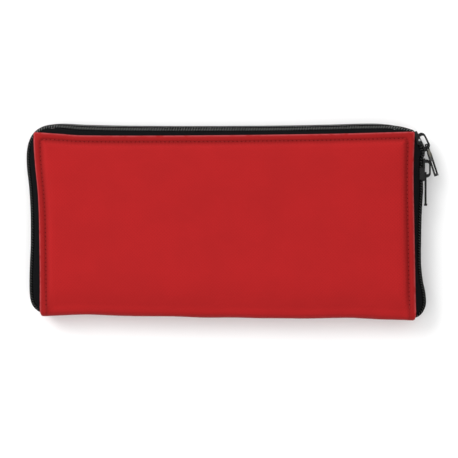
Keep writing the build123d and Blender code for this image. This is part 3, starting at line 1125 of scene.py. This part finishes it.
class POUCH_OT_blanket(bpy.types.Operator):
    """Glass cloth blanket folded in four one way and in eight the other"""

    bl_idname = "pouch.blanket"
    bl_label = "Folded blanket"

    def execute(self, context):
        low, high = (Vector(corner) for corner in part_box("fire_blanket"))
        band = (high.z - low.z) / RUNS
        ply = band / PLIES
        half_x = sizes().blanket_side / PLIES / 2
        x_middle = (low.x + high.x) / 2
        near, far = low.y + band, high.y - band
        y_middle = (low.y + high.y) / 2
        half_y = (high.y - low.y) / 2

        def pinch(z):
            """How far the pack's round edge is drawn in at a height."""
            near_face = max(0, min(z - low.z, high.z - z, PACK_ROUND))
            return PACK_ROUND - math.sqrt(PACK_ROUND**2 - (PACK_ROUND - near_face) ** 2)

        def ply_place(share):
            """Place across the pack and height in the band, at a share of the cloth's width."""
            run = min(int(share * PLIES), PLIES - 1)
            part = share * PLIES - run
            x = -half_x + 2 * half_x * part if run % 2 == 0 else half_x - 2 * half_x * part
            height = ply * (run + 0.5)
            if part > 1 - PLY_TURN and run < PLIES - 1:
                height += ply / 2 * ease((part - 1 + PLY_TURN) / PLY_TURN)
            if part < PLY_TURN and run > 0:
                height -= ply / 2 * (1 - ease(part / PLY_TURN))
            return x * (PLY_WIDTH - PLY_NARROWER * run), height

        def run_place(run, part, height):
            """Place along the pack and its height, on one run or on the bend after it."""
            up = run % 2 == 0
            level = height if up else band - height
            ragged = 0.7 * MM * math.sin(run * 2.3)
            if part <= 1:
                start, end = (near, far) if up else (far, near)
                return start + (end - start) * part + ragged * (part - 0.5), low.z + run * band + level
            turn = math.pi * (part - 1)
            radius = band - level
            centre = (far if up else near) + ragged * 0.5
            way = 1 if up else -1
            return centre + way * radius * math.sin(turn), low.z + (run + 1) * band - radius * math.cos(turn)

        width_places = [(run + place) / PLIES for run in range(PLIES) for place in PLY_PLACES]
        width_places.append(LAST_PLACE)
        length_places = []
        for run in range(RUNS):
            length_places += [(run, p / 6) for p in range(7)]
            if run < RUNS - 1:
                length_places += [(run, 1 + p / 8) for p in range(1, 8)]

        def cloth_at(share, run, part):
            """Point of the folded cloth at a share of its width, part way along one run."""
            x, height = ply_place(share)
            y, z = run_place(run, part, height)
            x *= 1 - pinch(z) / half_x
            y = y_middle + (y - y_middle) * (1 - pinch(z) / half_y)
            wave = noise.noise(Vector((x, y, z * 3)) / (40 * MM)) * 0.25 * MM
            return Vector((x_middle + x, y, z + wave))

        bm = mapped_grid(
            len(width_places), len(length_places), lambda c, r: cloth_at(width_places[c], *length_places[r])
        )
        blanket = thicken(piece(bm, "folded_blanket", finish_of("glass_cloth")), GLASS_THICKNESS, offset=0)
        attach(blanket, "blanket")
        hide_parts("fire_blanket")

        seam = bmesh.new()
        top = RUNS - 1
        hem_share, end_share = 0.012, 0.238
        hem_part, start_part = 0.90, 0.06
        shares = even_places(hem_share, end_share - hem_share, 40)
        parts = even_places(start_part, hem_part - start_part, 20)
        for line in (
            [cloth_at(share, top, hem_part) for share in shares],
            [cloth_at(hem_share, top, part) for part in parts],
        ):
            straight_stitches(seam, line, 4 * MM, 0.28 * MM, 6, UP * 0.30 * MM)
        hem = piece(seam, "blanket_hem_stitches", finish_of("hem_thread"))
        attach(hem, "blanket")
        return {"FINISHED"}


# The webbing's thickness as a share of its loop's, and the box of stitches: its room and its order
WEB_THICKNESS = 0.42
BOX_SIDE = 2.5 * MM
BOX_NEAR = 3 * MM
BOX_FAR = 20 * MM
BOX_ORDER = (0, 1, 2, 3, 0, 2, 1, 3)


class POUCH_OT_pull_tapes(bpy.types.Operator):
    """Webbing loops on the blanket, which are pulled to open it, each with a box of stitches"""

    bl_idname = "pouch.pull_tapes"
    bl_label = "Pull tapes"

    def execute(self, context):
        for node in ("left_pull_tape", "right_pull_tape"):
            low, high = (Vector(corner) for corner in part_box(node))
            thick = (high.z - low.z) * WEB_THICKNESS
            half = (high.z - low.z) / 2
            radius = half - thick / 2
            middle_z = low.z + half
            xs = even_places(low.x, high.x - low.x, 12)
            near, far = low.y + half, high.y
            ys = even_places(near, far - near, 20)
            turn = [math.pi * i / 8 for i in range(1, 8)]
            outline = [(y, middle_z + radius) for y in reversed(ys)]
            outline += [(near - radius * math.sin(a), middle_z + radius * math.cos(a)) for a in turn]
            outline += [(y, middle_z - radius) for y in ys]

            def place(column, row):
                y, z = outline[row]
                return Vector((xs[column], y, z))

            bm = mapped_grid(len(xs), len(outline), place)
            tape = thicken(piece(bm, node.replace("tape", "webbing"), finish_of("webbing")), thick, offset=0)
            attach(tape, "blanket")
            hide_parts(node)
            seam = bmesh.new()
            left, right = low.x + BOX_SIDE, high.x - BOX_SIDE
            front, back = high.y - BOX_NEAR, high.y - BOX_FAR
            places = ((left, front), (right, front), (right, back), (left, back))
            corners = [Vector((x, y, high.z)) for x, y in places]
            for i, j in zip(BOX_ORDER, BOX_ORDER[1:]):
                straight_stitches(seam, [corners[i], corners[j]], 2.6 * MM, 0.25 * MM, 5)
            stitches = piece(seam, node.replace("tape", "stitches"), finish_of("red_thread"))
            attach(stitches, "blanket")
        return {"FINISHED"}


# ---- stage


SKY_LOW = 0.40
SKY_HIGH = 1.18
VIEW_CENTRE = Vector((1.9 * MM, -4.9 * MM, 20 * MM))
VIEW_WIDTH = 343.5 * MM
VIEW_DISTANCE = 2.0
SENSOR = 36


class POUCH_OT_stage(bpy.types.Operator):
    """Pale floor, soft studio light from the upper left, and the camera straight above"""

    bl_idname = "pouch.stage"
    bl_label = "Stage"

    def execute(self, context):
        bm = bmesh.new()
        bmesh.ops.create_grid(bm, x_segments=1, y_segments=1, size=6)
        shader = Shader("studio_floor")
        shader.set(Roughness=0.9, Specular_IOR_Level=0.1, Base_Color=(0.93, 0.93, 0.93, 1))
        floor = piece(bm, "studio_floor", shader.material)

        world = bpy.data.worlds.new("studio_world")
        world.use_nodes = True
        nodes, links = world.node_tree.nodes, world.node_tree.links
        sky = nodes["Background"]
        direction = nodes.new("ShaderNodeTexCoord")
        height = nodes.new("ShaderNodeSeparateXYZ")
        overhead = nodes.new("ShaderNodeMapRange")
        overhead.inputs["To Min"].default_value = SKY_LOW
        overhead.inputs["To Max"].default_value = SKY_HIGH
        links.new(direction.outputs["Generated"], height.inputs["Vector"])
        links.new(height.outputs["Z"], overhead.inputs["Value"])
        links.new(overhead.outputs["Result"], sky.inputs["Strength"])
        sky.inputs["Color"].default_value = (1, 1, 1, 1)
        context.scene.world = world

        self.lamp("key", (-1.6, 1.45, 1.5), 1.9, 57)
        self.lamp("fill", (1.3, -1.6, 2.2), 2.4, 10)

        camera_data = bpy.data.cameras.new("camera")
        camera_data.sensor_width = SENSOR
        camera_data.lens = SENSOR * VIEW_DISTANCE / VIEW_WIDTH
        camera = bpy.data.objects.new("camera", camera_data)
        camera.location = VIEW_CENTRE + UP * VIEW_DISTANCE
        context.scene.collection.objects.link(camera)
        context.scene.camera = camera
        context.scene.view_settings.view_transform = "Standard"
        return {"FINISHED"}

    def lamp(self, name, place, size, power):
        """Adds a square area lamp that looks at the middle of the pouch."""
        light = bpy.data.lights.new(name, "AREA")
        light.shape = "SQUARE"
        light.size = size
        light.energy = power
        lamp = bpy.data.objects.new(name, light)
        lamp.location = place
        lamp.rotation_euler = (-Vector(place)).to_track_quat("-Z", "Y").to_euler()
        bpy.context.scene.collection.objects.link(lamp)


# ---- add-on


OPERATORS = (
    POUCH_OT_stage, POUCH_OT_cloth, POUCH_OT_topstitch, POUCH_OT_tapes, POUCH_OT_teeth,
    POUCH_OT_bartacks, POUCH_OT_hardware, POUCH_OT_blanket, POUCH_OT_pull_tapes,
)


class POUCH_PT_panel(bpy.types.Panel):
    """Sidebar panel with the pouch's sizes, colours and pieces"""

    bl_idname = "POUCH_PT_panel"
    bl_label = "Fire Blanket Pouch"
    bl_space_type = "VIEW_3D"
    bl_region_type = "UI"
    bl_category = "Fire Blanket"

    def draw(self, context):
        for group in (context.scene.pouch_sizes, context.scene.pouch_colours):
            box = self.layout.box()
            for name in group.bl_rna.properties.keys():
                if name not in ("rna_type", "name"):
                    box.prop(group, name)
        for operator in OPERATORS:
            self.layout.operator(operator.bl_idname)


CLASSES = (PouchSizes, PouchColours, *OPERATORS, POUCH_PT_panel)


def register():
    for cls in CLASSES:
        bpy.utils.register_class(cls)
    bpy.types.Scene.pouch_sizes = bpy.props.PointerProperty(type=PouchSizes)
    bpy.types.Scene.pouch_colours = bpy.props.PointerProperty(type=PouchColours)


def unregister():
    del bpy.types.Scene.pouch_colours
    del bpy.types.Scene.pouch_sizes
    for cls in reversed(CLASSES):
        bpy.utils.unregister_class(cls)


def main():
    """Builds every piece."""
    register()
    for operator in OPERATORS:
        group, name = operator.bl_idname.split(".")
        getattr(getattr(bpy.ops, group), name)()


if __name__ == "__main__":
    main()
